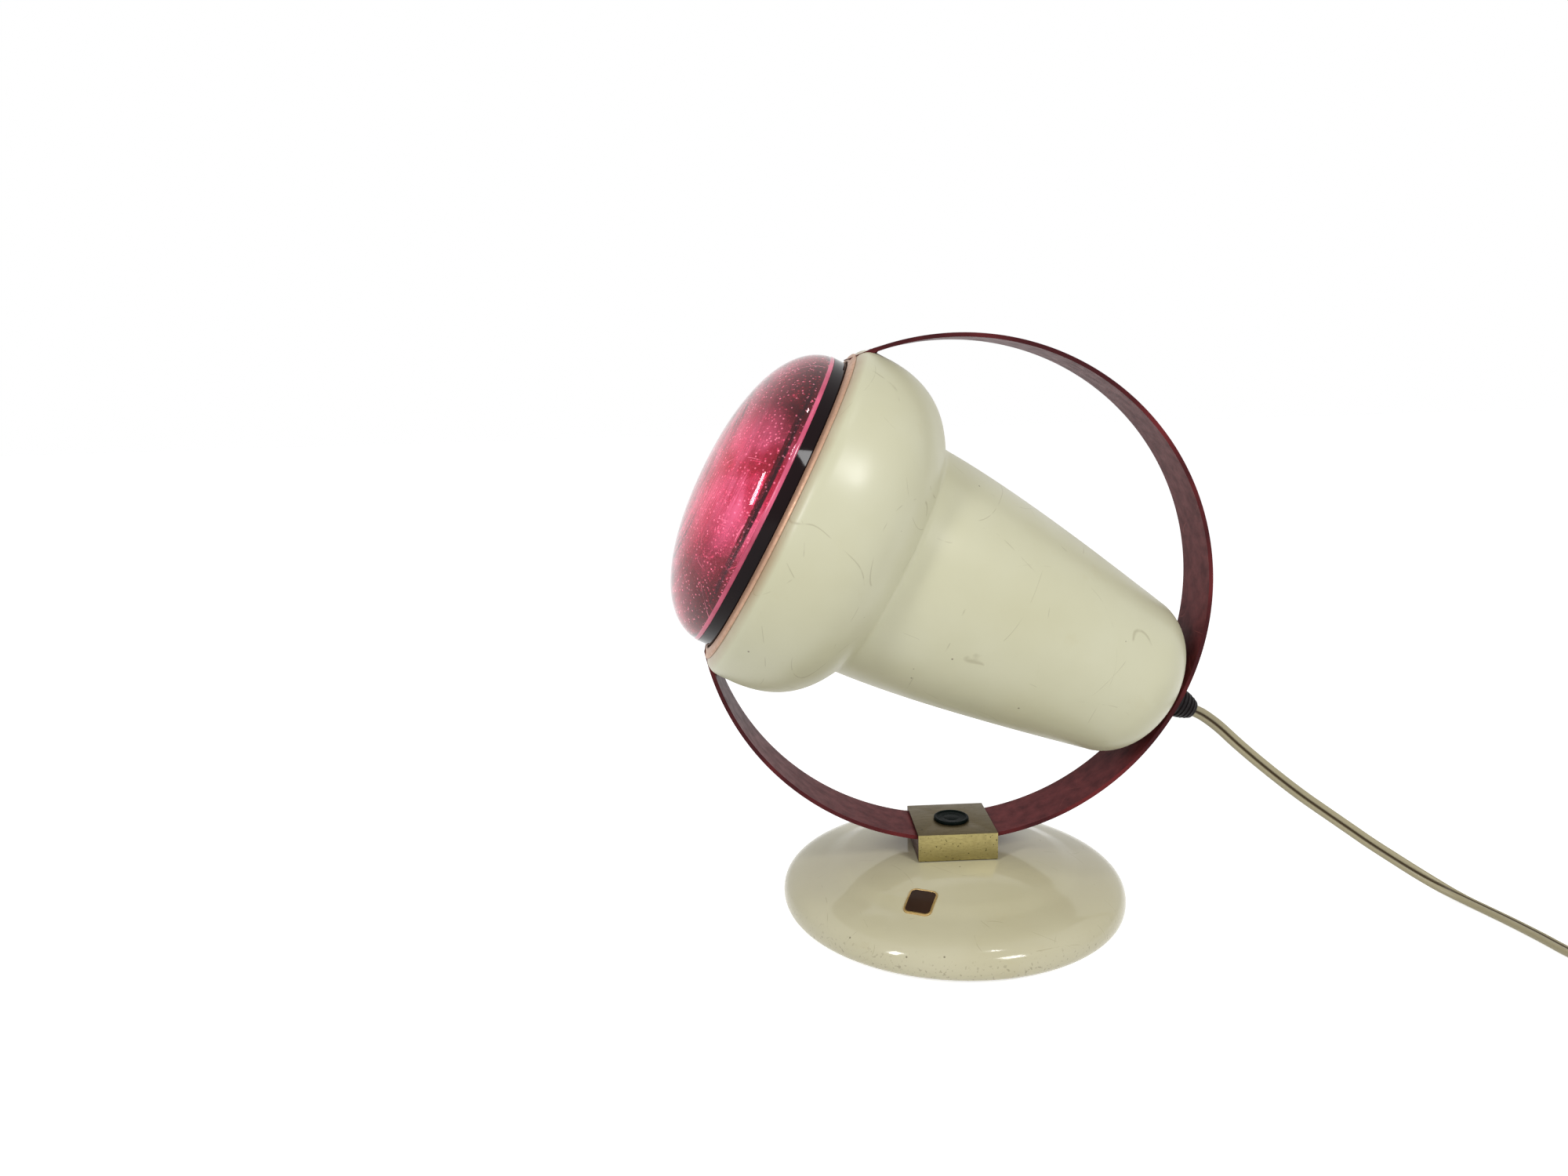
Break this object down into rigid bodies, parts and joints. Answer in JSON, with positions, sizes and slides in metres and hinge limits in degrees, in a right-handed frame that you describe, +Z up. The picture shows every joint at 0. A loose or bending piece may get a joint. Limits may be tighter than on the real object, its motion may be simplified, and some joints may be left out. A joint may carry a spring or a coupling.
{
  "type": "infrared heat lamp",
  "caption": "Table infrared heat lamp: spun head with a red reflector bulb, held in a flat steel hoop that slides through a clamp on a round weighted base.",
  "frame": {"origin": "middle of the felt underside of the base, on the table", "axes": "+Z up; the hoop lies in the XZ plane; the head faces -X, tilted up 28 degrees, and the lead leaves at +X"},
  "size_m": [0.4225, 0.2104, 0.231],
  "materials": {
    "cream_enamel": "stoved enamel, satin gloss",
    "red_enamel": "dark oxblood enamel, satin",
    "bronze_rim": "bronze lacquer, worn satin",
    "clamp_brass": "brushed, dulled and pitted",
    "cast_weight": "raw casting",
    "felt": "dense felt",
    "badge_plate": "brown lacquer with a bare edge",
    "fibre": "vulcanised fibre",
    "black_button": "moulded, dull gloss",
    "gland_black": "moulded, ribbed",
    "bakelite": "moulded phenolic",
    "zinc_steel": "zinc plated",
    "spring_steel": "blued",
    "red_glass": "stippled pressed glass, ruby red",
    "band_glass": "mirror-backed glass, near black from outside",
    "clear_glass": "clear glass",
    "tungsten": "bare wire",
    "plain_brass": "bright brass",
    "lead_ivory": "soft vinyl, slightly yellowed",
    "plug_ivory": "moulded, satin",
    "tie_black": "soft plastic"
  },
  "bodies": {
    "base": {"base_shell": "cream_enamel", "base_weight": "cast_weight", "base_pad": "felt", "badge": "badge_plate", "swivel_washer": "fibre"},
    "clamp": {"clamp_block": "clamp_brass", "friction_button": "black_button", "friction_pad": "fibre", "pressure_spring": "spring_steel", "pivot_stud": "zinc_steel", "spring_washer": "spring_steel", "pivot_nut": "zinc_steel", "cord_lead": "lead_ivory", "cord_coil": "lead_ivory", "coil_tie": "tie_black", "plug_body": "plug_ivory", "plug_pins": "plain_brass", "plug_screw": "plain_brass"},
    "head": {"hoop": "red_enamel", "hoop_clips": "spring_steel", "shade": "cream_enamel", "rim_ring": "bronze_rim", "bulb_lens": "red_glass", "bulb_reflector": "band_glass", "bulb_stem": "clear_glass", "filament": "tungsten", "bulb_cap": "plain_brass", "cap_insulator": "bakelite", "bulb_contact": "zinc_steel", "lampholder": "bakelite", "screw_shell": "plain_brass", "holder_contact": "plain_brass", "terminals": "plain_brass", "core_wires": "lead_ivory", "tail_tube": "zinc_steel", "tail_nut": "zinc_steel", "tail_washer": "zinc_steel", "gland": "gland_black"}
  },
  "joints": [
    {"name": "base_swivel", "type": "hinge", "parent": "base", "child": "clamp", "pos_m": [0, 0, 0.0236], "axis": [0, 0, 1], "continuous": true},
    {"name": "head_tilt", "type": "hinge", "parent": "clamp", "child": "head", "pos_m": [0, 0, 0.131], "axis": [0, 1, 0], "range_deg": [-58, 38]}
  ]
}
